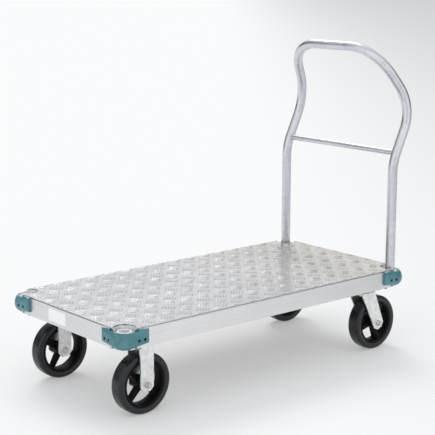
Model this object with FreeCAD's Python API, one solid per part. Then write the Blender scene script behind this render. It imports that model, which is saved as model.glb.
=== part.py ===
import FreeCAD, Part
import math
import os

from FreeCAD import Vector

# Flatbed platform truck. Millimetres, +Z up, floor at z = 0.
# +X is the handle end (rear, swivel casters), -X the front (rigid casters).
# Left and right are those of a person who pushes from the handle end: left is -Y.

# ---- frame ----
frame_length = 1270.0          # over the end rails' outer faces
frame_width = 620.0            # over the side rails' outer faces
rail_height = 63.5
rail_wall = 5.0
rail_top_flange = 30.0         # flange that carries the deck plate
rail_top_thickness = 4.0
rail_bottom_flange = 25.0
groove_height = 2.0            # slot under the deck plate's edge
groove_depth = 6.0
deck_thickness = 3.2
deck_inset = 1.0               # deck plate's edge inside the rails' outer faces
cross_member_count = 3
cross_member_height = 50.0
cross_member_flange = 32.0
cross_member_wall = 4.0
cope_clearance = 0.3           # between coped pieces and the flange that they pass

# ---- corner castings ----
socket_inset = 31.0            # socket axis from the rails' outer faces
drum_margin = 9.0              # drum's radius beyond the socket's inset
drum_drop = 7.0                # drum's rim below the rail's top
nose_proud = 14.3              # rounded nose's belly outside the rails' outer faces
nose_belly_low = 27.0          # lower edge of the belly above the rail's bottom
nose_belly_height = 3.5
nose_lip = 1.2                 # nose's edge at the drum's rim outside the cup
nose_foot_radius = 25.5        # nose's flat underside
flank_proud = 9.0              # flank's skin outside the rails' outer faces, at its end
flank_reach = 96.0             # flank's end from the frame's corner
flank_drop = 1.0               # flank's top below the rail's top
flank_end_lift = 12.0          # flank's bottom above the rail's bottom, at its end
flank_bottom_round = 9.5
flank_top_round = 6.0
flank_top_slope = 2.0
flank_top_width = 5.0          # at the flank's end
flank_root_width = 3.0         # top's width where the flank leaves the nose
rim_margin = 5.6               # flat shelf round the drum
drum_wall = 6.0
drum_cup_depth = 20.0
plate_cut_margin = 4.0         # deck plate's corner cut inside the drum's radius
socket_wall = 6.2
socket_clearance = 0.3
socket_floor = 6.0
socket_drop = 2.0              # socket's rim below the drum's rim
rib_thickness = 5.0
rib_drop = 6.0
tongue_thickness = 6.0         # casting's tongue behind the rail's web
tongue_setback = 6.0           # tongue's end inside the flank's end
foot_length = 55.0             # from the socket's axis
foot_depth = 16.0
foot_height = 12.0
drum_gap = 0.2                 # between the drum and the rails' coped ends

# ---- flank screws and clamp bolts ----
screw_drop = 35.5              # below the rail's top
screw_spacing = 24.0
screw_start_long = 56.0        # first screw on the front left and rear right castings
screw_start_short = 42.0       # first screw on the other two castings
screw_diameter = 6.0
screw_head_diameter = 9.6
screw_head_height = 3.6
screw_counterbore = 10.4
screw_seat = 4.0               # under the screw's head, outside the rail's outer face
screw_key = 4.0
clamp_bolt_diameter = 8.0
clamp_bolt_flats = 13.0
clamp_bolt_head = 5.3
clamp_bolt_run = 74.0          # from the frame's corner along the rail
clamp_bolt_inset = 8.0         # from the web's inner face
clamp_bolt_thread = 10.0

# ---- rating label ----
label_width = 100.0
label_height = 42.0
label_thickness = 0.4
label_offset = 2.0             # label's edge from the truck's middle plane
label_drop = 10.5              # label's top below the rail's top

# ---- casters ----
caster_end_inset = 125.0       # top plate's centre from the end rail's outer face
caster_side_inset = 76.4       # top plate's centre from the side rail's outer face
frame_lift = 3.2               # rail's bottom above the caster's top plate
top_plate_length = 114.3
top_plate_width = 101.6
top_plate_thickness = 6.4
bolt_pattern_length = 92.1
bolt_pattern_width = 66.7
mount_bolt_diameter = 9.5
mount_bolt_flats = 14.3
mount_bolt_head = 6.0
mount_nut_height = 8.5
mount_bolt_tail = 3.0          # thread past the nut
mount_hole_clearance = 0.4
bolster_thickness = 6.4
bolster_start = 73.0           # bolster's outer edge from the end rail's outer face
bolster_end = 198.0
bolster_upstand = 6.0

# ---- wheels ----
wheel_diameter = 203.2
tread_width = 50.8
tread_depth = 21.6
tread_shoulder = 9.6
tread_bond_inset = 2.0
rim_width = 44.0
rim_depth = 9.0
rim_belly = 4.0
rim_belly_width = 16.0
hub_length = 60.0
hub_end_radius = 20.0
hub_middle_radius = 23.0
hub_bore = 28.0
spoke_count = 4
spoke_root_width = 20.0
spoke_tip_width = 14.0
spoke_thickness = 17.0
axle_diameter = 12.7
axle_flats = 19.0
axle_head = 8.0
axle_nut_height = 10.0
axle_tail = 3.0
axle_clearance = 0.15
sleeve_diameter = 19.0
sleeve_end_gap = 0.1
roller_count = 12
roller_gap = 0.05              # from the rollers to the sleeve and to the hub's bore
roller_length = 46.0

# ---- caster forks ----
leg_thickness = 5.0
leg_gap = 0.4                  # between the hub's end and the leg
rigid_leg_top = 54.0
leg_bottom_width = 50.0
leg_below_axle = 22.5
leg_chamfer = 14.0
swivel_lead = 50.0
tyre_headroom = 16.3           # from the tyre's top to the swivel fork's crown
swivel_leg_front = 37.0        # crown's leg root ahead of the kingpin
swivel_leg_back = 31.0         # crown's leg root behind the kingpin
crown_radius = 44.0
crown_thickness = 6.4
race_outer_radius = 44.0
race_inner_radius = 28.0
race_height = 4.0
ball_diameter = 9.0
ball_count = 20
ball_pitch_radius = 36.0
ball_gap = 0.05
race_gap = 5.0                 # between the two races
kingpin_diameter = 16.0
kingpin_gap = 0.1
kingpin_nut_flats = 24.0
kingpin_nut_height = 12.0
kingpin_nut_gap = 0.3

# ---- handle ----
handle_diameter = 35.0
handle_wall = 2.5
handle_top_height = 1109.4     # top bar's centre line
handle_head_rise = 211.9       # from the rearmost bend's corner to the top bar
handle_lean_rise = 198.8       # from where the uprights start to lean to that corner
handle_lean = 94.8             # rearmost bend's corner behind the sockets
handle_top_forward = 37.0      # top bar ahead of the sockets
handle_top_inset = 69.2        # top bar's corners inside the sockets
handle_low_bend = 190.0
handle_middle_bend = 165.0
handle_top_bend = 160.0
crossbar_diameter = 22.0
crossbar_wall = 2.0
crossbar_rise = 34.3           # above where the uprights start to lean

# ---- worked-out sizes ----
wheel_radius = wheel_diameter / 2
crown_bottom = wheel_diameter + tyre_headroom
crown_top = crown_bottom + crown_thickness
race_bottom = crown_top + race_gap
plate_bottom = race_bottom + race_height
caster_height = plate_bottom + top_plate_thickness
rail_bottom = caster_height + frame_lift
rail_top = rail_bottom + rail_height
drum_radius = socket_inset + drum_margin
nose_radius = socket_inset + nose_proud
drum_top = rail_top - drum_drop
cup_radius = drum_radius - drum_wall
cup_floor = drum_top - drum_cup_depth
socket_radius = handle_diameter / 2 + socket_clearance
socket_bottom = rail_bottom + socket_floor
socket_top = drum_top - socket_drop
flank_top = rail_top - flank_drop
screw_z = rail_top - screw_drop
shelf_z = rail_bottom + rail_wall
half_length = frame_length / 2
half_width = frame_width / 2
socket_x = half_length - socket_inset
socket_y = half_width - socket_inset
caster_x = half_length - caster_end_inset
caster_y = half_width - caster_side_inset
leg_inner = hub_length / 2 + leg_gap
leg_outer = leg_inner + leg_thickness
rim_radius = wheel_radius - tread_depth
ball_z = (race_bottom + crown_top) / 2
kingpin_nut_top = crown_bottom - kingpin_nut_gap
handle_lean_height = handle_top_height - handle_head_rise
handle_bend_height = handle_lean_height - handle_lean_rise
crossbar_height = handle_bend_height + crossbar_rise

parts = {}


# ---- helpers ----
def box(x0, x1, y0, y1, z0, z1):
    return Part.makeBox(x1 - x0, y1 - y0, z1 - z0, Vector(x0, y0, z0))


def upright(x, y, radius, z0, z1):
    """Cylinder along Z."""
    return Part.makeCylinder(radius, z1 - z0, Vector(x, y, z0), Vector(0, 0, 1))


def lying(x, z, radius, y0, y1):
    """Cylinder along Y."""
    return Part.makeCylinder(radius, y1 - y0, Vector(x, y0, z), Vector(0, 1, 0))


def prism(points, sweep):
    """Solid from a closed outline of points, swept along a vector."""
    return Part.Face(Part.makePolygon(points + points[:1])).extrude(sweep)


def hexagon(centre, axis, flats, length):
    """Six-sided prism that starts at centre and runs along axis, which is Y or Z."""
    corner = flats / math.sqrt(3)
    points = []
    for step in range(6):
        angle = math.radians(60 * step)
        across = corner * math.cos(angle)
        along = corner * math.sin(angle)
        if abs(axis.y) > 0.5:
            points.append(centre + Vector(across, 0, along))
        else:
            points.append(centre + Vector(across, along, 0))
    return prism(points, axis * length)


def fuse(shapes):
    body = shapes[0].multiFuse(shapes[1:]) if len(shapes) > 1 else shapes[0]
    body = body.removeSplitter()
    return body.Solids[0] if len(body.Solids) == 1 else body


def mirrored(shape, end, side):
    """Copy of a shape made for the front left corner (end -1, side -1) at another corner."""
    if end > 0:
        shape = shape.mirror(Vector(0, 0, 0), Vector(1, 0, 0))
    if side > 0:
        shape = shape.mirror(Vector(0, 0, 0), Vector(0, 1, 0))
    return shape


CORNERS = {
    "front_left": (-1, -1),
    "front_right": (-1, 1),
    "rear_left": (1, -1),
    "rear_right": (1, 1),
}

# Where each wheel has stopped: the angle of its first spoke, in degrees.
FIRST_SPOKE = {
    "front_left": 47,
    "front_right": 60,
    "rear_left": 17,
    "rear_right": 35,
}


def screw_runs(end, side):
    """Distances of the flank screws from the frame's corner."""
    start = screw_start_long if end * side > 0 else screw_start_short
    return (start, start + screw_spacing)


# ---- flank screws, clamp bolts and their holes, at the front left corner ----
def along_flanks(make, run):
    """A round thing made on the side flank, and its twin on the end flank."""
    on_side = make(run)
    diagonal = Vector(1, -1, 0)
    corner = Vector(-half_length, -half_width, 0)
    return [on_side, on_side.mirror(corner, diagonal)]


def screw_hole(run):
    x = -half_length + run
    seat = -half_width - screw_seat
    tip = -half_width + rail_wall + tongue_thickness
    head = lying(x, screw_z, screw_counterbore / 2, -half_width - nose_proud - 1, seat)
    return head.fuse(lying(x, screw_z, screw_diameter / 2, seat - 1, tip + 1))


def flank_screw(run):
    x = -half_length + run
    seat = -half_width - screw_seat
    tip = -half_width + rail_wall + tongue_thickness
    head = lying(x, screw_z, screw_head_diameter / 2, seat - screw_head_height, seat)
    key_depth = screw_head_height / 2
    key = hexagon(Vector(x, seat - screw_head_height, screw_z), Vector(0, 1, 0), screw_key, key_depth)
    return fuse([head.cut(key), lying(x, screw_z, screw_diameter / 2, seat, tip)])


def clamp_hole(run):
    y = -half_width + rail_wall + clamp_bolt_inset
    top = shelf_z + clamp_bolt_thread
    return upright(-half_length + run, y, clamp_bolt_diameter / 2, rail_bottom - 1, top)


def clamp_bolt(run):
    x = -half_length + run
    y = -half_width + rail_wall + clamp_bolt_inset
    top = shelf_z + clamp_bolt_thread
    low = Vector(x, y, rail_bottom - clamp_bolt_head)
    head = hexagon(low, Vector(0, 0, 1), clamp_bolt_flats, clamp_bolt_head)
    return fuse([head, upright(x, y, clamp_bolt_diameter / 2, rail_bottom, top)])


def flank_holes(end, side):
    holes = []
    for run in screw_runs(end, side):
        holes += along_flanks(screw_hole, run)
    return holes + along_flanks(clamp_hole, clamp_bolt_run)


def drum_cutters():
    """Clearance round the four drums, for the rails' coped ends."""
    radius = drum_radius + drum_gap
    cutters = []
    for end, side in CORNERS.values():
        cutters.append(upright(end * socket_x, side * socket_y, radius, rail_bottom - 1, rail_top + 1))
    return cutters


# ---- frame pieces ----
def rail_section():
    """Rail's cross-section as (inboard, height) points."""
    return [
        (0, rail_bottom),
        (rail_bottom_flange, rail_bottom),
        (rail_bottom_flange, shelf_z),
        (rail_wall, shelf_z),
        (rail_wall, rail_top - rail_top_thickness),
        (rail_top_flange, rail_top - rail_top_thickness),
        (rail_top_flange, rail_top),
        (groove_depth, rail_top),
        (groove_depth, rail_top - groove_height),
        (0, rail_top - groove_height),
    ]


def cut_corner_holes(rail, corners):
    for end, side in corners:
        for hole in flank_holes(end, side):
            rail = rail.cut(mirrored(hole, end, side))
    return rail


def side_rail(side):
    points = []
    for inboard, height in rail_section():
        points.append(Vector(-socket_x, side * (half_width - inboard), height))
    rail = prism(points, Vector(2 * socket_x, 0, 0))
    rail = rail.cut(drum_cutters())
    return cut_corner_holes(rail, [(-1, side), (1, side)])


def end_rail(end):
    points = []
    for inboard, height in rail_section():
        points.append(Vector(end * (half_length - inboard), -socket_y, height))
    rail = prism(points, Vector(0, 2 * socket_y, 0))
    rail = rail.cut(drum_cutters())
    return cut_corner_holes(rail, [(end, -1), (end, 1)])


def deck_plate():
    x = half_length - deck_inset
    y = half_width - deck_inset
    top = rail_top + deck_thickness
    plate = box(-x, x, -y, y, rail_top, top)
    for end, side in CORNERS.values():
        round_cut = upright(-socket_x, -socket_y, drum_radius - plate_cut_margin, rail_top - 1, top + 1)
        square_cut = box(-half_length, -socket_x, -half_width, -socket_y, rail_top - 1, top + 1)
        plate = plate.cut(mirrored(round_cut.fuse(square_cut), end, side))
    return plate


def cross_member(x):
    reach = half_width - rail_wall
    short = half_width - rail_top_flange - cope_clearance
    under = rail_top - rail_top_thickness
    bottom = rail_top - cross_member_height
    wall = cross_member_wall
    web = box(x, x + wall, -reach, reach, bottom, under)
    foot = box(x, x + cross_member_flange, -reach, reach, bottom, bottom + wall)
    head = box(x, x + cross_member_flange, -short, short, rail_top - wall, rail_top)
    neck = box(x, x + wall, -short, short, under - wall, rail_top)
    return fuse([web, foot, head, neck])


def mount_positions():
    """Bolt places round a caster's centre."""
    places = []
    for a in (-1, 1):
        for b in (-1, 1):
            places.append((a * bolt_pattern_length / 2, b * bolt_pattern_width / 2))
    return places


def mount_holes(x, y, z0, z1):
    radius = mount_bolt_diameter / 2 + mount_hole_clearance
    return [upright(x + dx, y + dy, radius, z0, z1) for dx, dy in mount_positions()]


def caster_bolster(end):
    """Coped angle that spans the side rails over one pair of casters, made for the front."""
    left = -half_length
    reach = half_width - rail_wall
    short = half_width - rail_top_flange - cope_clearance
    top = shelf_z + bolster_thickness
    sheet = box(left + bolster_start, left + bolster_end, -reach, reach, shelf_z, top)
    stand = box(left + bolster_end - bolster_upstand, left + bolster_end, -short, short, shelf_z, rail_top)
    body = fuse([sheet, stand])
    notch_x = left + flank_reach + cope_clearance
    notch_y = half_width - rail_wall - foot_depth - cope_clearance
    for side in (-1, 1):
        edges = sorted((side * notch_y, side * half_width))
        body = body.cut(box(left, notch_x, edges[0], edges[1], shelf_z - 1, top + 1))
        body = body.cut(mount_holes(-caster_x, side * caster_y, shelf_z - 1, top + 1))
    return mirrored(body, end, -1)


def mounting_pad(x, y):
    block = box(
        x - top_plate_length / 2, x + top_plate_length / 2,
        y - top_plate_width / 2, y + top_plate_width / 2,
        caster_height, shelf_z)
    return block.cut(drum_cutters() + mount_holes(x, y, caster_height - 1, shelf_z + 1))


def belly_radius(edge, belly):
    """Radius of the arc from an edge point to the belly, where it runs upright."""
    run = belly[0] - edge[0]
    rise = edge[1] - belly[1]
    return (run ** 2 + rise ** 2) / (2 * run)


def belly_arc(edge, belly):
    """That arc's start, middle and end. Points are (out, height)."""
    radius = belly_radius(edge, belly)
    half = math.asin((edge[1] - belly[1]) / radius) / 2
    middle = (belly[0] - radius + radius * math.cos(half), belly[1] + radius * math.sin(half))
    return edge, middle, belly


def outline_face(steps, at):
    """Face from lines (2 points) and arcs (3 points), each point placed by the function at."""
    edges = []
    for step in steps:
        places = [at(*point) for point in step]
        edges.append(Part.Arc(*places).toShape() if len(places) == 3 else Part.makeLine(*places))
    return Part.Face(Part.Wire(edges))


def nose_section():
    """The nose's outline as steps of (radius, height) points, from its foot up to its lip."""
    low = (nose_radius, rail_bottom + nose_belly_low)
    high = (nose_radius, low[1] + nose_belly_height)
    foot = (nose_foot_radius, rail_bottom)
    lip = (cup_radius + nose_lip, drum_top)
    return [belly_arc(foot, low), (low, high), belly_arc(lip, high)[::-1]]


def nose(x, y):
    """Rounded outer quarter of the casting, turned round the socket's axis."""
    steps = nose_section()
    foot = steps[0][0]
    lip = steps[-1][-1]
    steps += [(lip, (0, lip[1])), ((0, lip[1]), (0, foot[1])), ((0, foot[1]), foot)]
    face = outline_face(steps, lambda radius, height: Vector(x - radius, y, height))
    return face.revolve(Vector(x, y, 0), Vector(0, 0, 1), 90)


def flank_root():
    """The flank's outline where it leaves the nose, as steps of (out, height) points."""
    foot_arc, belly, lip_arc = nose_section()
    radius = belly_radius(foot_arc[0], foot_arc[-1])
    low = (nose_proud, belly[0][1])
    bottom = (0, low[1] - math.sqrt(radius ** 2 - (radius - nose_proud) ** 2))
    high = (nose_proud, belly[1][1])
    lip = (lip_arc[-1][0] - socket_inset, drum_top)
    return flank_steps(bottom, low, high, lip, flank_root_width)


def flank_end():
    bottom = (0, rail_bottom + flank_end_lift)
    low = (flank_proud, bottom[1] + flank_bottom_round)
    high = (flank_proud, flank_top - flank_top_round)
    lip = (flank_proud - flank_top_slope, flank_top - flank_top_slope / 2)
    return flank_steps(bottom, low, high, lip, flank_top_width)


def flank_steps(bottom, low, high, lip, width):
    crest = (width, flank_top)
    inner = (0, flank_top)
    return [
        belly_arc(bottom, low), (low, high), belly_arc(lip, high)[::-1],
        (lip, crest), (crest, inner), (inner, bottom)]


def side_flank():
    """Front left casting's skin outside the side rail, from the nose to its end."""
    front = -half_width
    root = outline_face(flank_root(), lambda out, height: Vector(-socket_x, front - out, height))
    tip_x = -half_length + flank_reach
    tip = outline_face(flank_end(), lambda out, height: Vector(tip_x, front - out, height))
    return Part.makeLoft([root.OuterWire, tip.OuterWire], True, True)


def inboard_drum(x, y):
    """The drum behind the rails' coped ends, up to the deck plate's underside."""
    drum = upright(x, y, drum_radius, rail_bottom, rail_top)
    reach = drum_radius + 1
    beyond_side = box(x - reach, x + reach, y - reach, -half_width, rail_bottom - 1, rail_top + 1)
    beyond_end = box(x - reach, -half_length, y - reach, y + reach, rail_bottom - 1, rail_top + 1)
    corner = box(x - reach, x, y - reach, y, rail_bottom - 1, rail_top + 1)
    return drum.cut([beyond_side, beyond_end, corner])


def corner_casting(end, side):
    """Made for the front left corner, then mirrored to its own."""
    x = -socket_x
    y = -socket_y
    left = -half_length
    front = -half_width
    tongue = rail_wall + tongue_thickness
    tongue_end = flank_reach - tongue_setback
    foot = rail_wall + foot_depth
    foot_top = shelf_z + foot_height
    flank = side_flank()
    pieces = [
        nose(x, y),
        flank,
        flank.mirror(Vector(left, front, 0), Vector(1, -1, 0)),
        box(x, left + tongue_end, front + rail_wall, front + tongue, shelf_z, drum_top),
        box(left + rail_wall, left + tongue, y, front + tongue_end, shelf_z, drum_top),
        box(x, x + foot_length, front + rail_wall, front + foot, shelf_z, foot_top),
        box(left + rail_wall, left + foot, y, y + foot_length, shelf_z, foot_top),
    ]
    skin = fuse(pieces).cut(upright(x, y, drum_radius + rim_margin, drum_top, rail_top + 1))
    body = fuse([skin, inboard_drum(x, y)])
    body = body.cut(upright(x, y, cup_radius, cup_floor, rail_top + 1))
    socket = upright(x, y, socket_radius + socket_wall, cup_floor, socket_top)
    ribs = []
    reach = cup_radius + 1
    for angle in (45, 135):
        rib = box(-reach, reach, -rib_thickness / 2, rib_thickness / 2, cup_floor, drum_top - rib_drop)
        rib.rotate(Vector(0, 0, 0), Vector(0, 0, 1), angle)
        rib.translate(Vector(x, y, 0))
        ribs.append(rib)
    body = fuse([body, socket] + ribs)
    body = body.cut(upright(x, y, socket_radius, socket_bottom, drum_top + 1))
    body = body.cut(flank_holes(end, side))
    return mirrored(body, end, side)


def rating_label():
    top = rail_top - label_drop
    x = -half_length
    return box(x - label_thickness, x, label_offset, label_offset + label_width, top - label_height, top)


def corner_fasteners():
    screws = []
    bolts = []
    for end, side in CORNERS.values():
        for run in screw_runs(end, side):
            screws += [mirrored(s, end, side) for s in along_flanks(flank_screw, run)]
        bolts += [mirrored(b, end, side) for b in along_flanks(clamp_bolt, clamp_bolt_run)]
    return screws, bolts


def mount_fasteners():
    bolts = []
    nuts = []
    nut_z = shelf_z + bolster_thickness
    tip = nut_z + mount_nut_height + mount_bolt_tail
    radius = mount_bolt_diameter / 2
    up = Vector(0, 0, 1)
    for end, side in CORNERS.values():
        for dx, dy in mount_positions():
            x = end * caster_x + dx
            y = side * caster_y + dy
            low = Vector(x, y, plate_bottom - mount_bolt_head)
            head = hexagon(low, up, mount_bolt_flats, mount_bolt_head)
            bolts.append(fuse([head, upright(x, y, radius, plate_bottom, tip)]))
            nut = hexagon(Vector(x, y, nut_z), up, mount_bolt_flats, mount_nut_height)
            nuts.append(nut.cut(upright(x, y, radius, nut_z - 1, tip)))
    return bolts, nuts


# ---- wheel pieces, round the Y axis at the origin ----
def turned(points):
    """Ring turned round Y from a closed (radius, y) outline."""
    outline = [Vector(r, y, 0) for r, y in points]
    return Part.Face(Part.makePolygon(outline + outline[:1])).revolve(Vector(0, 0, 0), Vector(0, 1, 0), 360)


def tread():
    half = tread_width / 2
    bond = half - tread_bond_inset
    side_radius = wheel_radius - tread_shoulder
    turn = tread_shoulder * (1 - math.sqrt(0.5))
    a = Vector(rim_radius, -bond, 0)
    b = Vector(side_radius, -half, 0)
    c = Vector(wheel_radius, -half + tread_shoulder, 0)
    d = Vector(wheel_radius, half - tread_shoulder, 0)
    e = Vector(side_radius, half, 0)
    f = Vector(rim_radius, bond, 0)
    low_turn = Vector(wheel_radius - turn, -half + turn, 0)
    high_turn = Vector(wheel_radius - turn, half - turn, 0)
    edges = [
        Part.makeLine(a, b),
        Part.Arc(b, low_turn, c).toShape(),
        Part.makeLine(c, d),
        Part.Arc(d, high_turn, e).toShape(),
        Part.makeLine(e, f),
        Part.makeLine(f, a),
    ]
    face = Part.Face(Part.Wire(edges))
    return face.revolve(Vector(0, 0, 0), Vector(0, 1, 0), 360)


def hub(first_angle):
    """Cast wheel centre with open spokes; its near side is at -Y."""
    half = rim_width / 2
    belly = rim_belly_width / 2
    inner = rim_radius - rim_depth
    rim = turned([
        (rim_radius, -half), (rim_radius, half), (inner, half),
        (inner - rim_belly, belly), (inner - rim_belly, -belly), (inner, -half)])
    end = hub_length / 2
    middle = spoke_thickness / 2
    bore = hub_bore / 2
    boss = turned([
        (bore, -end), (hub_end_radius, -end), (hub_middle_radius, -middle),
        (hub_middle_radius, middle), (hub_end_radius, end), (bore, end)])
    start = (bore + hub_end_radius) / 2
    spokes = []
    for step in range(spoke_count):
        spoke = prism([
            Vector(start, -middle, -spoke_root_width / 2), Vector(inner - 1, -middle, -spoke_tip_width / 2),
            Vector(inner - 1, -middle, spoke_tip_width / 2), Vector(start, -middle, spoke_root_width / 2),
        ], Vector(0, spoke_thickness, 0))
        angle = first_angle + step * 360 / spoke_count
        spoke.rotate(Vector(0, 0, 0), Vector(0, 1, 0), -angle)
        spokes.append(spoke)
    return fuse([rim, boss] + spokes)


def rollers():
    """Loose needle rollers between the axle's sleeve and the hub's bore."""
    inner = sleeve_diameter / 2 + roller_gap
    outer = hub_bore / 2 - roller_gap
    radius = (outer - inner) / 2
    pitch = (outer + inner) / 2
    pieces = []
    for step in range(roller_count):
        angle = 2 * math.pi * step / roller_count
        x = pitch * math.cos(angle)
        z = pitch * math.sin(angle)
        pieces.append(lying(x, z, radius, -roller_length / 2, roller_length / 2))
    return pieces


def axle_sleeve():
    half = hub_length / 2 + leg_gap - sleeve_end_gap
    bore = axle_diameter / 2 + axle_clearance
    return lying(0, 0, sleeve_diameter / 2, -half, half).cut(lying(0, 0, bore, -half - 1, half + 1))


def axle_bolt(side):
    """Hex head on the inboard side, thread outboard."""
    head = hexagon(Vector(0, -side * leg_outer, 0), Vector(0, -side, 0), axle_flats, axle_head)
    tip = leg_outer + axle_nut_height + axle_tail
    ends = sorted((-side * leg_outer, side * tip))
    return fuse([head, lying(0, 0, axle_diameter / 2, ends[0], ends[1])])


def axle_nut(side):
    nut = hexagon(Vector(0, side * leg_outer, 0), Vector(0, side, 0), axle_flats, axle_nut_height)
    tip = leg_outer + axle_nut_height + 1
    return nut.cut(lying(0, 0, axle_diameter / 2, -tip, tip))


# ---- forks, with the axle at the origin's x and at wheel height ----
def fork_leg(outline, y0):
    points = [Vector(x, y0, z) for x, z in outline]
    leg = prism(points, Vector(0, leg_thickness, 0))
    hole = lying(0, wheel_radius, axle_diameter / 2 + axle_clearance, y0 - 1, y0 + leg_thickness + 1)
    return leg.cut(hole)


def top_plate(x):
    length = top_plate_length / 2
    width = top_plate_width / 2
    plate = box(x - length, x + length, -width, width, plate_bottom, caster_height)
    return plate.cut(mount_holes(x, 0, plate_bottom - 1, caster_height + 1))


def rigid_fork():
    low = wheel_radius - leg_below_axle
    half = leg_bottom_width / 2
    cut = leg_chamfer
    outline = [
        (-rigid_leg_top / 2, plate_bottom), (-half, wheel_radius), (-half, low + cut), (-half + cut, low),
        (half - cut, low), (half, low + cut), (half, wheel_radius), (rigid_leg_top / 2, plate_bottom)]
    return fuse([top_plate(0), fork_leg(outline, leg_inner), fork_leg(outline, -leg_outer)])


def swivel_fork():
    """Crown round the kingpin, which is swivel_lead ahead of the axle."""
    pin = -swivel_lead
    crown = upright(pin, 0, crown_radius, crown_bottom, crown_top)
    reach = (pin - crown_radius, pin + crown_radius)
    crown = crown.common(box(*reach, -leg_outer, leg_outer, crown_bottom, crown_top))
    crown = crown.cut(upright(pin, 0, kingpin_diameter / 2 + kingpin_gap, crown_bottom - 1, crown_top + 1))
    lean = math.atan2(swivel_lead, crown_bottom - wheel_radius)
    half = leg_bottom_width / 2
    low = leg_below_axle
    cut = leg_chamfer
    tip = []
    foot = [(-half, 0), (-half, low - cut), (-half + cut, low)]
    foot += [(half - cut, low), (half, low - cut), (half, 0)]
    for across, down in foot:
        x = across * math.cos(lean) + down * math.sin(lean)
        z = wheel_radius + across * math.sin(lean) - down * math.cos(lean)
        tip.append((x, z))
    root = [
        (pin + swivel_leg_back, crown_bottom), (pin + swivel_leg_back, crown_top),
        (pin - swivel_leg_front, crown_top), (pin - swivel_leg_front, crown_bottom)]
    outline = tip + root
    return fuse([crown, fork_leg(outline, leg_inner), fork_leg(outline, -leg_outer)]).cut(ball_groove(pin))


def ball_groove(x):
    centre = Vector(x, 0, ball_z)
    return Part.makeTorus(ball_pitch_radius, ball_diameter / 2 + ball_gap, centre, Vector(0, 0, 1))


def swivel_plate():
    x = -swivel_lead
    race = upright(x, 0, race_outer_radius, race_bottom, plate_bottom)
    race = race.cut(upright(x, 0, race_inner_radius, race_bottom - 1, plate_bottom))
    body = fuse([top_plate(x), race]).cut(ball_groove(x))
    return body.cut(upright(x, 0, kingpin_diameter / 2, plate_bottom - 1, caster_height + 1))


def swivel_balls():
    balls = []
    for step in range(ball_count):
        angle = 2 * math.pi * step / ball_count
        x = -swivel_lead + ball_pitch_radius * math.cos(angle)
        y = ball_pitch_radius * math.sin(angle)
        balls.append(Part.makeSphere(ball_diameter / 2, Vector(x, y, ball_z)))
    return balls


def kingpin():
    low = kingpin_nut_top - kingpin_nut_height
    return upright(-swivel_lead, 0, kingpin_diameter / 2, low, caster_height)


def kingpin_nut():
    low = kingpin_nut_top - kingpin_nut_height
    nut = hexagon(Vector(-swivel_lead, 0, low), Vector(0, 0, 1), kingpin_nut_flats, kingpin_nut_height)
    return nut.cut(upright(-swivel_lead, 0, kingpin_diameter / 2, low - 1, kingpin_nut_top + 1))


def placed(shape, x, y, z):
    shape = shape.copy()
    shape.translate(Vector(x, y, z))
    return shape


def add_wheel(name, side, x, y):
    centre = (x, y, wheel_radius)
    parts["tread_" + name] = placed(tread(), *centre)
    parts["wheel_hub_" + name] = placed(hub(FIRST_SPOKE[name]), *centre)
    parts["wheel_rollers_" + name] = placed(Part.makeCompound(rollers()), *centre)
    parts["axle_sleeve_" + name] = placed(axle_sleeve(), *centre)
    parts["axle_bolt_" + name] = placed(axle_bolt(side), *centre)
    parts["axle_nut_" + name] = placed(axle_nut(side), *centre)


def add_casters():
    for name, (end, side) in CORNERS.items():
        y = side * caster_y
        if end < 0:
            x = -caster_x
            parts["rigid_fork_" + name] = placed(rigid_fork(), x, y, 0)
            add_wheel(name, side, x, y)
        else:
            x = caster_x + swivel_lead
            parts["swivel_plate_" + name] = placed(swivel_plate(), x, y, 0)
            parts["swivel_balls_" + name] = placed(Part.makeCompound(swivel_balls()), x, y, 0)
            parts["swivel_fork_" + name] = placed(swivel_fork(), x, y, 0)
            parts["kingpin_" + name] = placed(kingpin(), x, y, 0)
            parts["kingpin_nut_" + name] = placed(kingpin_nut(), x, y, 0)
            add_wheel(name, side, x, y)


# ---- handle ----
def rounded_path(points, radii):
    """Edges of a path through points, with an arc of its own radius at each inner point."""
    edges = []
    start = points[0]
    for index, radius in enumerate(radii, 1):
        corner = points[index]
        back = (points[index - 1] - corner).normalize()
        ahead = (points[index + 1] - corner).normalize()
        half = back.getAngle(ahead) / 2
        trim = radius / math.tan(half)
        into = (back + ahead).normalize()
        middle = corner + into * (radius / math.sin(half) - radius)
        first = corner + back * trim
        last = corner + ahead * trim
        edges.append(Part.makeLine(start, first))
        edges.append(Part.Arc(first, middle, last).toShape())
        start = last
    edges.append(Part.makeLine(start, points[-1]))
    return edges


def handle_points():
    rise = [
        Vector(socket_x, -socket_y, socket_bottom),
        Vector(socket_x, -socket_y, handle_bend_height),
        Vector(socket_x + handle_lean, -socket_y, handle_lean_height),
        Vector(socket_x - handle_top_forward, -socket_y + handle_top_inset, handle_top_height),
    ]
    fall = [Vector(p.x, -p.y, p.z) for p in reversed(rise)]
    return rise + fall


def swept(edges, start, radius):
    ring = Part.Wire(Part.Circle(start, Vector(0, 0, 1), radius).toShape())
    return Part.Wire(edges).makePipeShell([ring], True, False)


def handle_pieces():
    points = handle_points()
    bends = [handle_low_bend, handle_middle_bend, handle_top_bend]
    edges = rounded_path(points, bends + bends[::-1])
    outside = swept(edges, points[0], handle_diameter / 2)
    inside = swept(edges, points[0], handle_diameter / 2 - handle_wall)
    centre = crossbar_x()
    reach = socket_y
    bar = lying(centre, crossbar_height, crossbar_diameter / 2, -reach, reach)
    bore = lying(centre, crossbar_height, crossbar_diameter / 2 - crossbar_wall, -reach, reach)
    return outside.cut(inside), bar.cut(outside).cut(bore)


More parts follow.
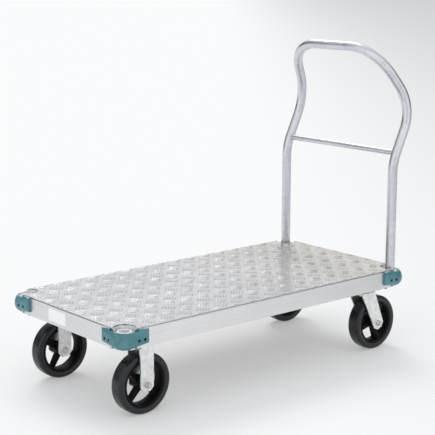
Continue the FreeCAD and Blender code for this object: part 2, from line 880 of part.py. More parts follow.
def crossbar_x():
    """Where the uprights' centre lines are at the crossbar's height."""
    lean_angle = math.atan2(handle_lean, handle_lean_height - handle_bend_height)
    trim = handle_low_bend * math.tan(lean_angle / 2)
    rise = crossbar_height - (handle_bend_height - trim)
    if rise <= 0:
        return socket_x
    arc_rise = handle_low_bend * math.sin(lean_angle)
    if rise <= arc_rise:
        return socket_x + handle_low_bend - math.sqrt(handle_low_bend ** 2 - rise ** 2)
    arc_run = handle_low_bend * (1 - math.cos(lean_angle))
    return socket_x + arc_run + (rise - arc_rise) * math.tan(lean_angle)


def handle_back():
    """The handle's rearmost x: the outside of its middle bend."""
    points = handle_points()
    back = (points[1] - points[2]).normalize()
    ahead = (points[3] - points[2]).normalize()
    half = back.getAngle(ahead) / 2
    centre = points[2] + (back + ahead).normalize() * (handle_middle_bend / math.sin(half))
    normal = back.cross(ahead).normalize()
    return centre.x + handle_middle_bend * math.sqrt(1 - normal.x ** 2) + handle_diameter / 2


# ---- assembly ----
def build():
    parts["deck_plate"] = deck_plate()
    parts["side_rail_left"] = side_rail(-1)
    parts["side_rail_right"] = side_rail(1)
    parts["end_rail_front"] = end_rail(-1)
    parts["end_rail_rear"] = end_rail(1)
    for name, (end, side) in CORNERS.items():
        parts["corner_casting_" + name] = corner_casting(end, side)
    parts["caster_bolster_front"] = caster_bolster(-1)
    parts["caster_bolster_rear"] = caster_bolster(1)
    clear = frame_length - 2 * bolster_end
    for index in range(cross_member_count):
        x = -clear / 2 + clear * (index + 1) / (cross_member_count + 1)
        parts["cross_member_%d" % (index + 1)] = cross_member(x - cross_member_wall / 2)
    pads = [mounting_pad(end * caster_x, side * caster_y) for end, side in CORNERS.values()]
    parts["mounting_pads"] = Part.makeCompound(pads)
    screws, clamps = corner_fasteners()
    parts["casting_screws"] = Part.makeCompound(screws)
    parts["casting_clamp_bolts"] = Part.makeCompound(clamps)
    bolts, nuts = mount_fasteners()
    parts["caster_bolts"] = Part.makeCompound(bolts)
    parts["caster_nuts"] = Part.makeCompound(nuts)
    parts["rating_label"] = rating_label()
    add_casters()
    tube, bar = handle_pieces()
    parts["handle_tube"] = tube
    parts["handle_crossbar"] = bar


# The origin is at the middle of the whole truck's length and width, on the floor.
origin_x = (handle_back() - socket_x - nose_radius) / 2

if __name__ == "__main__":
    build()
    os.makedirs("parts", exist_ok=True)
    for node, shape in parts.items():
        placed(shape, -origin_x, 0, 0).exportStep("parts/" + node + ".step")
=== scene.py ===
import math

import bpy
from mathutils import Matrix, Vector


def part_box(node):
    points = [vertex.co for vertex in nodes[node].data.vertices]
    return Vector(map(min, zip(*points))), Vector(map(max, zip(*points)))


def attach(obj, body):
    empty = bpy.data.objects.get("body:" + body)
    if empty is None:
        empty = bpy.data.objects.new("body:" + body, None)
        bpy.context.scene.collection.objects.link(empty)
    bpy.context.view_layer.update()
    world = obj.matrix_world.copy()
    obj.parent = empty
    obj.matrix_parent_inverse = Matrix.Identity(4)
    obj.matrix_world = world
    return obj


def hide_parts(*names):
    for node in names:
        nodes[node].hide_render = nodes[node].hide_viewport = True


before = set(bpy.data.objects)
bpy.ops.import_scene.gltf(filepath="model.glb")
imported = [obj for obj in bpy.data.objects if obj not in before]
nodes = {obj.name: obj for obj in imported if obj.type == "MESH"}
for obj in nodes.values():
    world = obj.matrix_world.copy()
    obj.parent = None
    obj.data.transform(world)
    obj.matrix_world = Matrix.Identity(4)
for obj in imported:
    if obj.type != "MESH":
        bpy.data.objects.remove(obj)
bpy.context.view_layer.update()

MM = 0.001

# Plan directions: SIGHT is the way the camera looks, ACROSS is to its right.
SIGHT = (0.643, 0.766)
ACROSS = (SIGHT[1], -SIGHT[0])

# The deck plate, and the corner castings' sockets, placed from its box.
SOCKET_INSET = 31.0 * MM           # a socket's axis inside the rails' outer faces
DECK_EDGE = 1.0 * MM               # the deck plate's edge inside the rails' outer faces
CUP_RADIUS = 34.0 * MM             # round notch in the plate's corner, over the casting's cup
BAR_HEIGHT = 1.5 * MM              # of the plate's raised bars
deck_low, deck_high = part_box("deck_plate")
flank_top = deck_low[2] - 1.0 * MM             # where the castings' painted flanks end
socket_middle = (deck_low[0] + deck_high[0]) / 2
socket_x = (deck_high[0] - deck_low[0]) / 2 + DECK_EDGE - SOCKET_INSET
socket_y = (deck_high[1] - deck_low[1]) / 2 + DECK_EDGE - SOCKET_INSET


# ---- camera ----
CAMERA_PLACE = (-2.79813, -3.28123, 1.41960)
CAMERA_YAW = 0.6989                # radians from +Y toward +X
CAMERA_DOWN = 0.2046               # radians below the level
CAMERA_LENS = 103.44               # millimetres, on a sensor 36 wide
CAMERA_SHIFT = (0.0132, 0.0027)


def add_camera():
    level = math.cos(CAMERA_DOWN)
    forward = Vector((math.sin(CAMERA_YAW) * level, math.cos(CAMERA_YAW) * level, -math.sin(CAMERA_DOWN)))
    data = bpy.data.cameras.new("camera")
    data.sensor_width = 36.0
    data.lens = CAMERA_LENS
    data.shift_x, data.shift_y = CAMERA_SHIFT
    data.clip_end = 200.0
    camera = bpy.data.objects.new("camera", data)
    camera.location = CAMERA_PLACE
    camera.rotation_mode = "QUATERNION"
    camera.rotation_quaternion = forward.to_track_quat("-Z", "Y")
    bpy.context.scene.collection.objects.link(camera)
    bpy.context.scene.camera = camera


# ---- node helpers ----
def add_node(tree, kind, inputs, **settings):
    """A node with its settings made, and each input linked to a socket or set to a value."""
    made = tree.nodes.new(kind)
    for key, value in settings.items():
        setattr(made, key, value)
    for key, value in inputs.items():
        if isinstance(value, bpy.types.NodeSocket):
            tree.links.new(value, made.inputs[key])
        else:
            made.inputs[key].default_value = value
    return made


def opaque(tone):
    """A colour socket as it is, or three numbers with a full alpha."""
    return tone if isinstance(tone, bpy.types.NodeSocket) else (*tone, 1.0)


class Shader:
    """A Principled material whose inputs are built from procedural nodes in object space."""

    def __init__(self, name):
        self.material = bpy.data.materials.new(name)
        self.material.use_nodes = True
        self.tree = self.material.node_tree
        self.surface = self.tree.nodes["Principled BSDF"]
        self.coords = self.tree.nodes.new("ShaderNodeTexCoord").outputs["Object"]

    def node(self, kind, inputs, **settings):
        return add_node(self.tree, kind, inputs, **settings)

    def stretched(self, scale):
        return self.node("ShaderNodeMapping", {"Vector": self.coords, "Scale": scale}).outputs["Vector"]

    def noise(self, scale, detail=4.0, vector=None, rough=0.55):
        made = self.node("ShaderNodeTexNoise", {
            "Vector": vector or self.coords, "Scale": scale, "Detail": detail, "Roughness": rough})
        return made.outputs["Fac"]

    def remap(self, value, low, high, to_low=0.0, to_high=1.0):
        made = self.node("ShaderNodeMapRange", {
            "Value": value, "From Min": low, "From Max": high, "To Min": to_low, "To Max": to_high})
        return made.outputs["Result"]

    def math(self, operation, first, second=0.0):
        return self.node("ShaderNodeMath", {0: first, 1: second}, operation=operation).outputs["Value"]

    def times(self, first, second):
        return self.math("MULTIPLY", first, second)

    def plus(self, first, second):
        return self.math("ADD", first, second)

    def blend(self, factor, first, second):
        inputs = {0: factor, 6: opaque(first), 7: opaque(second)}
        return self.node("ShaderNodeMix", inputs, data_type="RGBA").outputs[2]

    def colour(self, value):
        self.tree.links.new(value, self.surface.inputs["Base Color"])

    def roughness(self, value):
        self.tree.links.new(value, self.surface.inputs["Roughness"])

    def metal(self, value):
        self.tree.links.new(value, self.surface.inputs["Metallic"])

    def bump(self, height, distance, strength=1.0, under=None):
        inputs = {"Height": height, "Distance": distance, "Strength": strength}
        if under is not None:
            inputs["Normal"] = under
        made = self.node("ShaderNodeBump", inputs)
        self.tree.links.new(made.outputs["Normal"], self.surface.inputs["Normal"])
        return made.outputs["Normal"]

    def set(self, **values):
        for key, value in values.items():
            self.surface.inputs[key.replace("_", " ")].default_value = value

    def axis(self, index):
        return self.node("ShaderNodeSeparateXYZ", {0: self.coords}).outputs[index]

    def from_socket(self):
        """Distance from the nearest socket's axis."""
        along = self.math("ABSOLUTE", self.math("SUBTRACT", self.axis(0), socket_middle))
        out_x = self.math("SUBTRACT", along, socket_x)
        out_y = self.math("SUBTRACT", self.math("ABSOLUTE", self.axis(1)), socket_y)
        return self.math("SQRT", self.plus(self.times(out_x, out_x), self.times(out_y, out_y)))

    def facing_up(self):
        normal = self.node("ShaderNodeNewGeometry", {}).outputs["Normal"]
        return self.node("ShaderNodeSeparateXYZ", {0: normal}).outputs[2]


# ---- materials ----
# Painted shade: rails and tubes grow darker toward the rear between these places along X, in metres, down
# to the first number times as bright.
REAR_SHADE = 0.86
REAR_SHADE_FROM = -0.4
REAR_SHADE_TO = 0.5

RAIL_LIGHT = (0.86, 0.86, 0.87)
RAIL_DARK = (0.74, 0.74, 0.75)
# Painted shade: a darker copy of the rails' tones for the end rails, cross members and bolsters.
END_SHADED_LIGHT = (0.78, 0.78, 0.79)
END_SHADED_DARK = (0.67, 0.67, 0.68)
TEAL_LIGHT = (0.092, 0.256, 0.290)
TEAL_DARK = (0.046, 0.172, 0.204)
# Brownish dark of the painted shadow along the deck plate's notch edges at the cups.
GRIME_AND_SHADOW = (0.13, 0.115, 0.10)


def aluminium(name, light, dark, grain, roughness=0.36):
    """Mill-finish aluminium with its drawing lines along one axis, faint blotches, fine pits, and painted
    shade toward the rear.
    """
    look = Shader(name)
    look.set(Metallic=1.0)
    lines = look.noise(1.0, 3.0, look.stretched(grain))
    blotch = look.noise(7.0, 5.0)
    fine = look.noise(260.0, 2.0)
    mixed = look.plus(look.times(lines, 0.55), look.times(blotch, 0.45))
    # Painted shade: darkened copies of the two tones take over toward the rear along X.
    rear_tones = [tuple(REAR_SHADE * part for part in tone) for tone in (dark, light)]
    front_tone = look.blend(look.remap(mixed, 0.34, 0.66), dark, light)
    rear_shaded = look.blend(look.remap(mixed, 0.34, 0.66), *rear_tones)
    look.colour(look.blend(look.remap(look.axis(0), REAR_SHADE_FROM, REAR_SHADE_TO), front_tone, rear_shaded))
    uneven = look.plus(mixed, look.times(fine, 0.3))
    look.roughness(look.remap(uneven, 0.4, 0.9, roughness - 0.07, roughness + 0.1))
    look.bump(lines, 0.00012, 0.35, look.bump(fine, 0.00005, 0.3))
    return look.material


def tread_metal(name, foot=None):
    """Deck plate with grey scuffs, fine scratches, a brownish painted shadow along the cups' notch edges,
    painted shade toward the rear, and, given a foot height, at the bars' foot.
    """
    look = Shader(name)
    look.set(Metallic=1.0)
    scuff = look.noise(16.0, 6.0, rough=0.7)
    patch = look.noise(3.2, 3.0)
    one = look.noise(1.0, 2.0, look.stretched((30.0, 700.0, 30.0)))
    two = look.noise(1.0, 2.0, look.stretched((600.0, 45.0, 30.0)))
    scratches = look.math("MAXIMUM", one, two)
    mixed = look.plus(look.times(scuff, 0.6), look.times(patch, 0.4))
    streak = look.remap(mixed, 0.32, 0.68)
    front_tone = look.blend(streak, (0.50, 0.50, 0.51), (0.72, 0.72, 0.73))
    # Painted shade: a darker, warmer copy of the plate's tones takes over toward the rear along X.
    rear_warm_shaded = look.blend(streak, (0.490, 0.472, 0.440), (0.690, 0.667, 0.625))
    tone = look.blend(look.remap(look.axis(0), REAR_SHADE_FROM + 0.3, REAR_SHADE_TO), front_tone, rear_warm_shaded)
    # Painted shade: given a height for the bars' foot, each bar darkens to dark grey toward where it
    # meets the plate.
    if foot is not None:
        risen = look.remap(look.axis(2), foot + 0.15 * BAR_HEIGHT, foot + 0.95 * BAR_HEIGHT)
        tone = look.blend(risen, (0.34, 0.34, 0.35), tone)
    # Painted shadow, brownish like dirt, along the plate's notch edges round the cups, with a ragged
    # outer edge.
    ragged = look.math("SUBTRACT", look.from_socket(), look.times(look.noise(45.0, 3.0), 5.0 * MM))
    notch_shadow_and_grime = look.remap(ragged, CUP_RADIUS + 0.4 * MM, CUP_RADIUS - 0.8 * MM)
    look.colour(look.blend(notch_shadow_and_grime, tone, GRIME_AND_SHADOW))
    look.roughness(look.remap(mixed, 0.3, 0.7, 0.30, 0.22))
    look.bump(scratches, 0.00008, 0.35, look.bump(scuff, 0.0002, 0.25))
    return look.material


def teal_enamel():
    """Teal enamel over a rough casting. Inside the cup and socket, and on upward-facing tops above the
    flanks, it turns light grey and partly metallic.
    """
    look = Shader("teal_enamel")
    look.set(Coat_Weight=0.2, Coat_Roughness=0.25, Specular_IOR_Level=0.4)
    mottle = look.noise(26.0, 4.0)
    grainy = look.noise(420.0, 3.0)
    edge = look.noise(160.0, 4.0)
    paint = look.blend(look.remap(mottle, 0.3, 0.7), TEAL_DARK, TEAL_LIGHT)
    metal = look.blend(look.remap(edge, 0.3, 0.7), (0.74, 0.74, 0.75), (0.92, 0.92, 0.92))
    # Inside the cup and socket the casting turns light grey metal.
    ragged = look.plus(look.from_socket(), look.times(edge, 1.2 * MM))
    inside = look.remap(ragged, CUP_RADIUS + 1.6 * MM, CUP_RADIUS + 1.0 * MM)
    height = look.plus(look.axis(2), look.times(edge, 1.6 * MM))
    above = look.remap(height, flank_top - 1.4 * MM, flank_top - 1.0 * MM)
    # Upward-facing surfaces above the flanks' top turn light grey metal too.
    top = look.times(above, look.remap(look.facing_up(), 0.55, 0.85))
    pale_metal_mask = look.times(look.math("MAXIMUM", inside, top), look.remap(look.facing_up(), -0.6, -0.3))
    look.colour(look.blend(pale_metal_mask, paint, metal))
    look.metal(look.times(pale_metal_mask, 0.3))
    look.roughness(look.remap(look.plus(mottle, look.times(grainy, 0.4)), 0.4, 1.0, 0.30, 0.46))
    look.bump(grainy, 0.00012, 0.45, look.bump(mottle, 0.0006, 0.3))
    return look.material


def zinc(name, light, dark, scale=140.0):
    """Bright zinc plate with faint crystals and cloudy tarnish."""
    look = Shader(name)
    look.set(Metallic=1.0)
    crystals = look.node("ShaderNodeTexVoronoi", {"Vector": look.coords, "Scale": scale}).outputs["Color"]
    grey = look.node("ShaderNodeRGBToBW", {0: crystals}).outputs[0]
    cloud = look.noise(34.0, 5.0, rough=0.65)
    mixed = look.plus(look.times(grey, 0.3), look.times(cloud, 0.7))
    look.colour(look.blend(look.remap(mixed, 0.25, 0.7), dark, light))
    look.roughness(look.remap(mixed, 0.25, 0.7, 0.5, 0.34))
    look.bump(look.noise(300.0, 3.0), 0.00008, 0.35)
    return look.material


def rubber():
    """Moulded black rubber with cloudy dust and fine mould grain."""
    look = Shader("tyre_rubber")
    dust = look.noise(38.0, 5.0, rough=0.65)
    grain = look.noise(900.0, 2.0)
    look.set(Specular_IOR_Level=0.45)
    look.colour(look.blend(look.remap(dust, 0.35, 0.75), (0.002, 0.0035, 0.006), (0.016, 0.021, 0.028)))
    look.roughness(look.remap(dust, 0.3, 0.7, 0.20, 0.40))
    look.bump(grain, 0.00008, 0.3, look.bump(dust, 0.0003, 0.2))
    return look.material


def black_enamel(name, roughness):
    """Black enamel over a sand casting."""
    look = Shader(name)
    look.set(Specular_IOR_Level=0.1)
    cast = look.noise(210.0, 4.0)
    cloud = look.noise(30.0, 3.0)
    look.colour(look.blend(look.remap(cloud, 0.3, 0.7), (0.003, 0.003, 0.003), (0.008, 0.008, 0.009)))
    look.roughness(look.remap(cast, 0.3, 0.7, roughness - 0.08, roughness + 0.14))
    look.bump(cast, 0.00025, 0.5)
    return look.material


def label_vinyl():
    """Blank white vinyl with a soft sheen."""
    look = Shader("label_vinyl")
    look.set(Coat_Weight=0.3, Coat_Roughness=0.3)
    soft = look.noise(60.0, 3.0)
    look.colour(look.blend(look.remap(soft, 0.3, 0.7), (0.92, 0.92, 0.92), (0.97, 0.97, 0.97)))
    look.roughness(look.remap(soft, 0.3, 0.7, 0.32, 0.42))
    look.bump(soft, 0.0001, 0.2)
    return look.material


# ---- finishing the CAD nodes ----
def dress(name, material):
    mesh = nodes[name].data
    mesh.materials.clear()
    mesh.materials.append(material)


def soften(name, width):
    """Joins a CAD node's doubled points and flat facets, then rounds its sharp edges, with modifiers."""
    piece = nodes[name]
    weld = piece.modifiers.new("weld", "WELD")
    weld.merge_threshold = 0.02 * MM
    flat = piece.modifiers.new("flat", "DECIMATE")
    flat.decimate_type = "DISSOLVE"
    flat.angle_limit = math.radians(0.6)
    bevel = piece.modifiers.new("bevel", "BEVEL")
    bevel.width = width * MM
    bevel.segments = 2
    bevel.limit_method = "ANGLE"
    bevel.angle_limit = math.radians(35)
    bevel.harden_normals = False
    normals = piece.modifiers.new("normals", "WEIGHTED_NORMAL")
    normals.keep_sharp = True
    normals.weight = 80


def add_piece(name, points, faces, material, body):
    """A new smooth mesh piece that rides on a CAD body."""
    mesh = bpy.data.meshes.new(name)
    mesh.from_pydata(points, [], faces)
    mesh.materials.append(material)
    mesh.shade_smooth()
    piece = bpy.data.objects.new(name, mesh)
    bpy.context.scene.collection.objects.link(piece)
    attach(piece, body)
    return piece


# ---- deck plate's raised bars ----
BAR_WIDTH = 4.8 * MM
BAR_STATIONS = (-0.86, -0.5, 0.0, 0.5, 0.86)   # rings along a bar, as shares of its half length
BAR_ARCH = (-1.0, -0.62, 0.0, 0.62, 1.0)       # points over a ring, as shares of its half width
BAR_SINK = 0.1 * MM                # into the plate
BARS_IN_GROUP = 5
BAR_MARGIN = 2.0 * MM              # kept clear of the plate's edges
CUP_MARGIN = 9.0 * MM              # bars' ends kept clear of the cups

# Groups lie in cells, one across the line of sight at a cell's corner and one along it at its middle.
CELL_X = 73.6 * MM
CELL_Y = 87.5 * MM
FIRST_X = 45.0 * MM                # a cross group's centre from the deck's middle
FIRST_Y = 31.0 * MM
COLUMNS = 10                       # cells each way from the middle, more than the deck holds
ROWS = 5

# Each group's bar length and spacing.
CROSS_BARS = (40.0 * MM, 9.0 * MM)
ALONG_BARS = (40.0 * MM, 9.2 * MM)


def bar_mesh(start, end, height, points, faces):
    """Adds one closed, lens-shaped bar that lies from start to end."""
    run = Vector((end[0] - start[0], end[1] - start[1], 0.0))
    middle = Vector(((start[0] + end[0]) / 2, (start[1] + end[1]) / 2, height))
    half = run / 2
    side = Vector((-run.y, run.x, 0.0)).normalized() * BAR_WIDTH / 2
    first = len(points)
    for station in BAR_STATIONS:
        narrow = math.sqrt(1 - station ** 2) ** 0.8
        tall = BAR_HEIGHT * (1 - station ** 4)
        for arch in BAR_ARCH:
            lift = tall * math.sqrt(1 - arch ** 2)
            points.append(middle + half * station + side * arch * narrow + Vector((0, 0, lift)))
    tips = (len(points), len(points) + 1)
    points += [middle - half, middle + half]
    wide = len(BAR_ARCH)
    last = first + wide * (len(BAR_STATIONS) - 1)
    for row in range(first, last, wide):
        for step in range(row, row + wide - 1):
            faces.append((step, step + wide, step + wide + 1, step + 1))
    for step in range(wide - 1):
        faces.append((tips[0], first + step, first + step + 1))
        faces.append((tips[1], last + step + 1, last + step))
    near = list(range(first, last + 1, wide))
    far = [row + wide - 1 for row in near]
    faces.append((tips[0], *far, tips[1], *near[::-1]))


def clipped(start, end, low, high):
    """The part of a plan line inside a box, or None where too little of it is left."""
    enter, leave = 0.0, 1.0
    for axis in (0, 1):
        run = end[axis] - start[axis]
        cuts = sorted(((low[axis] - start[axis]) / run, (high[axis] - start[axis]) / run))
        enter = max(enter, cuts[0])
        leave = min(leave, cuts[1])
    if (leave - enter) * math.dist(start, end) < 2 * BAR_WIDTH:
        return None
    ends = []
    for part in (enter, leave):
        ends.append(tuple(start[axis] + part * (end[axis] - start[axis]) for axis in (0, 1)))
    return ends


def at_corner(place):
    """Whether a plan point is in the deck plate's corner cuts."""
    out_x = abs(place[0] - socket_middle) - socket_x
    out_y = abs(place[1]) - socket_y
    return math.hypot(out_x, out_y) < CUP_RADIUS + CUP_MARGIN or (out_x > 0 and out_y > 0)


def add_deck_bars(name, material, shift, bars, along, beside):
    """One piece with every group that lies one way. The shift is a share of a cell."""
    length, spacing = bars
    low = [deck_low[axis] + BAR_MARGIN for axis in (0, 1)]
    high = [deck_high[axis] - BAR_MARGIN for axis in (0, 1)]
    cells = [(column, row) for column in range(-COLUMNS, COLUMNS) for row in range(-ROWS, ROWS)]
    points = []
    faces = []
    for column, row in cells:
        x = socket_middle + FIRST_X + (column + shift) * CELL_X
        y = FIRST_Y + (row + shift) * CELL_Y
        for bar in range(BARS_IN_GROUP):
            step = (bar - (BARS_IN_GROUP - 1) / 2) * spacing
            centre = (x + beside[0] * step, y + beside[1] * step)
            start = tuple(centre[axis] - along[axis] * length / 2 for axis in (0, 1))
            end = tuple(centre[axis] + along[axis] * length / 2 for axis in (0, 1))
            ends = clipped(start, end, low, high)
            if ends and not at_corner(ends[0]) and not at_corner(ends[1]):
                bar_mesh(*ends, deck_high[2] - BAR_SINK, points, faces)
    add_piece(name, points, faces, material, "frame")


# ---- tyres ----
TREAD_DEPTH = 21.6 * MM            # running face to the bond with the rim
SHOULDER = 9.4 * MM
RIDGE_IN = 13.0 * MM               # moulded ridge on the side wall, inside the running face
TYRE_STEPS = 128


def arc(centre, radius, start, end, steps):
    """Points of an arc in (radius, side) terms, angles in degrees."""
    made = []
    for step in range(steps + 1):
        angle = math.radians(start + (end - start) * step / steps)
        made.append((centre[0] + radius * math.cos(angle), centre[1] + radius * math.sin(angle)))
    return made


def tyre_profile(radius, half):
    """Half of a tyre's outline, from its bond with the rim out to the middle of the running face."""
    inner = radius - TREAD_DEPTH
    ridge = radius - RIDGE_IN
    bond = half - 2.0 * MM
    side = [
        (inner, bond),
        (inner + 1.0 * MM, bond - 0.6 * MM),
        (inner + 3.6 * MM, half - 0.5 * MM),
        (ridge - 1.6 * MM, half - 0.4 * MM),
        (ridge - 0.9 * MM, half - 0.1 * MM),
        (ridge + 0.4 * MM, half - 0.1 * MM),
        (ridge + 1.1 * MM, half - 0.5 * MM),
    ]
    bend = arc((radius - 0.5 * MM - SHOULDER, half - 0.5 * MM - SHOULDER), SHOULDER, 90, 6, 9)
    return side + bend + [(radius - 0.1 * MM, half * 0.4), (radius - 0.02 * MM, half * 0.16)]


def add_tyre(corner):
    low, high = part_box("tread_" + corner)
    centre = (Vector(low) + Vector(high)) / 2
    half_outline = tyre_profile((high[2] - low[2]) / 2, (high[1] - low[1]) / 2)
    outline = half_outline + [(reach, -side) for reach, side in reversed(half_outline)]
    points = []
    faces = []
    count = len(outline)
    for turn in range(TYRE_STEPS):
        angle = 2 * math.pi * turn / TYRE_STEPS
        for reach, side in outline:
            points.append(centre + Vector((reach * math.cos(angle), side, reach * math.sin(angle))))
        here = turn * count
        following = (turn + 1) % TYRE_STEPS * count
        for step in range(count):
            after = (step + 1) % count
            faces.append((here + step, following + step, following + after, here + after))
    piece = add_piece("tyre_" + corner, points, faces, RUBBER, "wheel_" + corner)
    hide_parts("tread_" + corner)


# ---- crossbar's welds ----
TUBE_RADIUS = 17.5 * MM
WELD_RADIUS = 2.4 * MM
WELD_LEAN = math.radians(24)       # the uprights' lean at the crossbar
WELD_STEPS = 72
WELD_SIDES = 8
WELD_RIPPLES = 18


def add_weld(name, side):
    """Rippled bead round one end of the crossbar, on the upright's skin."""
    low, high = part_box("handle_crossbar")
    centre = (Vector(low) + Vector(high)) / 2
    bar = (high[2] - low[2]) / 2
    points = []
    faces = []
    for step in range(WELD_STEPS):
        angle = 2 * math.pi * step / WELD_STEPS
        out = Vector((math.cos(angle), 0, math.sin(angle)))
        across = bar * (out.x * math.cos(WELD_LEAN) - out.z * math.sin(WELD_LEAN))
        y = side * (socket_y - math.sqrt(TUBE_RADIUS ** 2 - across ** 2))
        thick = WELD_RADIUS * (1 + 0.16 * math.sin(WELD_RIPPLES * angle))
        middle = Vector((centre.x, y, centre.z)) + out * bar
        for turn in range(WELD_SIDES):
            around = 2 * math.pi * turn / WELD_SIDES
            swing = out * thick * math.cos(around)
            points.append(middle + swing + Vector((0, thick * math.sin(around), 0)))
            corners = (step, turn), (step + 1, turn), (step + 1, turn + 1), (step, turn + 1)
            face = []
            for ring, spot in corners:
                face.append(ring % WELD_STEPS * WELD_SIDES + spot % WELD_SIDES)
            faces.append(face)
    add_piece(name, points, faces, WELD, "handle")


# ---- light and floor ----
HORIZON_DIM = 0.16
HORIZON_BRIGHT = 0.95
CEILING = 0.82
FILL = 0.65                        # soft box behind the camera
SUN = 0.85
FLOOR_PALE = (0.945, 0.945, 0.945)
FLOOR_SHADE_GREY = (0.60, 0.60, 0.605)
FLOOR_FADE = 2.6                   # metres to the right where the floor is half way to grey
FLOOR_GLOW = 0.30                  # share of the paper's tone that shadows don't touch
FLOOR_REACH = 60.0


def add_world():
    """Soft boxes: a bright ceiling, three bright and three dim parts of the horizon, and a fill."""
    world = bpy.data.worlds.new("studio")
    bpy.context.scene.world = world
    world.use_nodes = True
    tree = world.node_tree

    def made(kind, inputs, **settings):
        return add_node(tree, kind, inputs, **settings).outputs

    place = made("ShaderNodeTexCoord", {})["Generated"]
    way = made("ShaderNodeSeparateXYZ", {0: place})
    turn = made("ShaderNodeMath", {0: way[1], 1: way[0]}, operation="ARCTAN2")[0]
    sight = math.atan2(SIGHT[1], SIGHT[0])
    thrice = made("ShaderNodeMath", {0: turn, 1: 3.0, 2: -3.0 * sight}, operation="MULTIPLY_ADD")[0]
    wave = made("ShaderNodeMath", {0: thrice}, operation="COSINE")[0]
    horizon = made("ShaderNodeMapRange", {
        "Value": wave, "From Min": -0.35, "From Max": 0.45,
        "To Min": HORIZON_DIM, "To Max": HORIZON_BRIGHT})[0]
    rise = made("ShaderNodeMapRange", {
        "Value": way[2], "From Min": 0.25, "From Max": 0.7}, interpolation_type="SMOOTHSTEP")[0]
    level = made("ShaderNodeMix", {0: rise, 2: horizon, 3: CEILING})[0]
    behind = made("ShaderNodeVectorMath", {
        0: place, 1: (-SIGHT[0], -SIGHT[1], 0.0)}, operation="DOT_PRODUCT")["Value"]
    fill = made("ShaderNodeMapRange", {
        "Value": behind, "From Min": 0.35, "From Max": 0.95,
        "To Min": 0.0, "To Max": FILL}, interpolation_type="SMOOTHSTEP")[0]
    total = made("ShaderNodeMath", {0: level, 1: fill}, operation="ADD")[0]
    back = tree.nodes["Background"]
    back.inputs["Color"].default_value = (0.97, 0.985, 1.0, 1.0)
    tree.links.new(total, back.inputs["Strength"])


def add_sun():
    """High, wide key light from behind the truck, as the camera sees it."""
    sun = bpy.data.lights.new("overhead", "SUN")
    sun.energy = SUN
    sun.angle = math.radians(30)
    lamp = bpy.data.objects.new("overhead", sun)
    lamp.rotation_mode = "QUATERNION"
    lamp.rotation_quaternion = Vector((-0.30, -0.75, -1.0)).to_track_quat("-Z", "Y")
    bpy.context.scene.collection.objects.link(lamp)


def add_floor():
    """Pale floor, with painted shade making it a little greyer far off to the camera's right."""
    mesh = bpy.data.meshes.new("floor")
    corners = [(x * FLOOR_REACH, y * FLOOR_REACH, 0) for x, y in ((-1, -1), (1, -1), (1, 1), (-1, 1))]
    mesh.from_pydata(corners, [], [(0, 1, 2, 3)])
    floor = bpy.data.objects.new("floor", mesh)
    bpy.context.scene.collection.objects.link(floor)
    look = Shader("floor_paper")
    look.set(Roughness=0.9, Specular_IOR_Level=0.0)
    # Painted shade: the floor's tone greys toward the camera's right.
    aside = look.plus(look.times(look.axis(0), ACROSS[0]), look.times(look.axis(1), ACROSS[1]))
    right = look.math("MAXIMUM", aside, 0.0)
    squared = look.times(right, right)
    away = look.math("DIVIDE", squared, look.plus(squared, FLOOR_FADE ** 2))
    tone = look.blend(away, FLOOR_PALE, FLOOR_SHADE_GREY)
    look.colour(tone)
    seen = look.node("ShaderNodeLightPath", {}).outputs
    direct = look.math("MAXIMUM", seen["Is Camera Ray"], seen["Is Glossy Ray"])
    shown = look.math("MAXIMUM", direct, seen["Is Transmission Ray"])
    paper = look.node("ShaderNodeEmission", {"Color": tone, "Strength": 1.0})
    both = look.node("ShaderNodeMixShader", {
        0: look.times(shown, FLOOR_GLOW), 1: look.surface.outputs[0], 2: paper.outputs[0]})
    look.tree.links.new(both.outputs[0], look.tree.nodes["Material Output"].inputs["Surface"])
    mesh.materials.append(look.material)


# ---- the scene ----
bpy.context.scene.view_settings.view_transform = "Standard"
add_camera()
add_floor()
add_world()
add_sun()

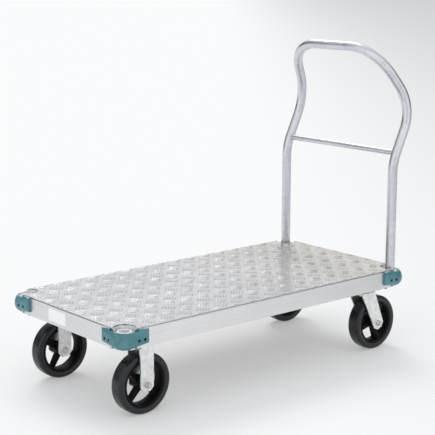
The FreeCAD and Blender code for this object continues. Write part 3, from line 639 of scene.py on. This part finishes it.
TREAD = tread_metal("tread_metal")
BARS = tread_metal("tread_bars_shaded_foot", deck_high[2])
RAIL_X = aluminium("rail_metal_long", RAIL_LIGHT, RAIL_DARK, (2.5, 240.0, 240.0))
RAIL_Y = aluminium("rail_metal_across_shaded", END_SHADED_LIGHT, END_SHADED_DARK, (240.0, 2.5, 240.0))
TUBE = aluminium("handle_metal", (0.84, 0.86, 0.90), (0.66, 0.68, 0.72), (60.0, 60.0, 60.0), 0.31)
TEAL = teal_enamel()
WELD = zinc("weld_metal", (0.74, 0.74, 0.76), (0.52, 0.52, 0.55), 900.0)
ZINC = zinc("fork_zinc", (0.90, 0.92, 0.91), (0.66, 0.68, 0.67))
BOLT = zinc("bolt_zinc", (0.70, 0.70, 0.69), (0.48, 0.48, 0.48), 400.0)
STEEL = zinc("bearing_steel", (0.66, 0.66, 0.67), (0.52, 0.52, 0.53), 600.0)
RUBBER = rubber()
HUB = black_enamel("hub_enamel", 0.5)
BLACK = black_enamel("screw_black", 0.45)
LABEL = label_vinyl()

# What each CAD node's name starts with, its material, and the width of its rounded edges in millimetres.
FINISH = [
    ("deck_plate", TREAD, 0.5),
    ("side_rail", RAIL_X, 0.8),
    ("end_rail", RAIL_Y, 0.8),
    ("cross_member", RAIL_Y, 0.8),
    ("caster_bolster", RAIL_Y, 0.8),
    ("mounting_pads", RAIL_X, 0.8),
    ("corner_casting", TEAL, 1.5),
    ("casting_screws", BLACK, 0.4),
    ("casting_clamp_bolts", BLACK, 0.5),
    ("caster_bolts", BOLT, 0.5),
    ("caster_nuts", BOLT, 0.5),
    ("rating_label", LABEL, 0.1),
    ("tread_", RUBBER, 0.8),
    ("wheel_hub", HUB, 1.5),
    ("wheel_rollers", STEEL, 0.0),
    ("swivel_balls", STEEL, 0.0),
    ("axle_sleeve", STEEL, 0.0),
    ("axle_bolt", BOLT, 0.6),
    ("axle_nut", BOLT, 0.6),
    ("kingpin", BOLT, 0.6),
    ("rigid_fork", ZINC, 1.0),
    ("swivel_fork", ZINC, 1.0),
    ("swivel_plate", ZINC, 0.8),
    ("handle_", TUBE, 0.0),
]
for node in nodes:
    for start, material, width in FINISH:
        if node.startswith(start):
            dress(node, material)
            if width:
                soften(node, width)
            break

add_deck_bars("deck_bars_across", TREAD, 0.0, CROSS_BARS, ACROSS, SIGHT)
# The bars along the line of sight take the copy with painted shade at their foot.
add_deck_bars("deck_bars_along", BARS, 0.5, ALONG_BARS, SIGHT, ACROSS)
for corner in ("front_left", "front_right", "rear_left", "rear_right"):
    add_tyre(corner)
add_weld("crossbar_weld_left", -1)
add_weld("crossbar_weld_right", 1)
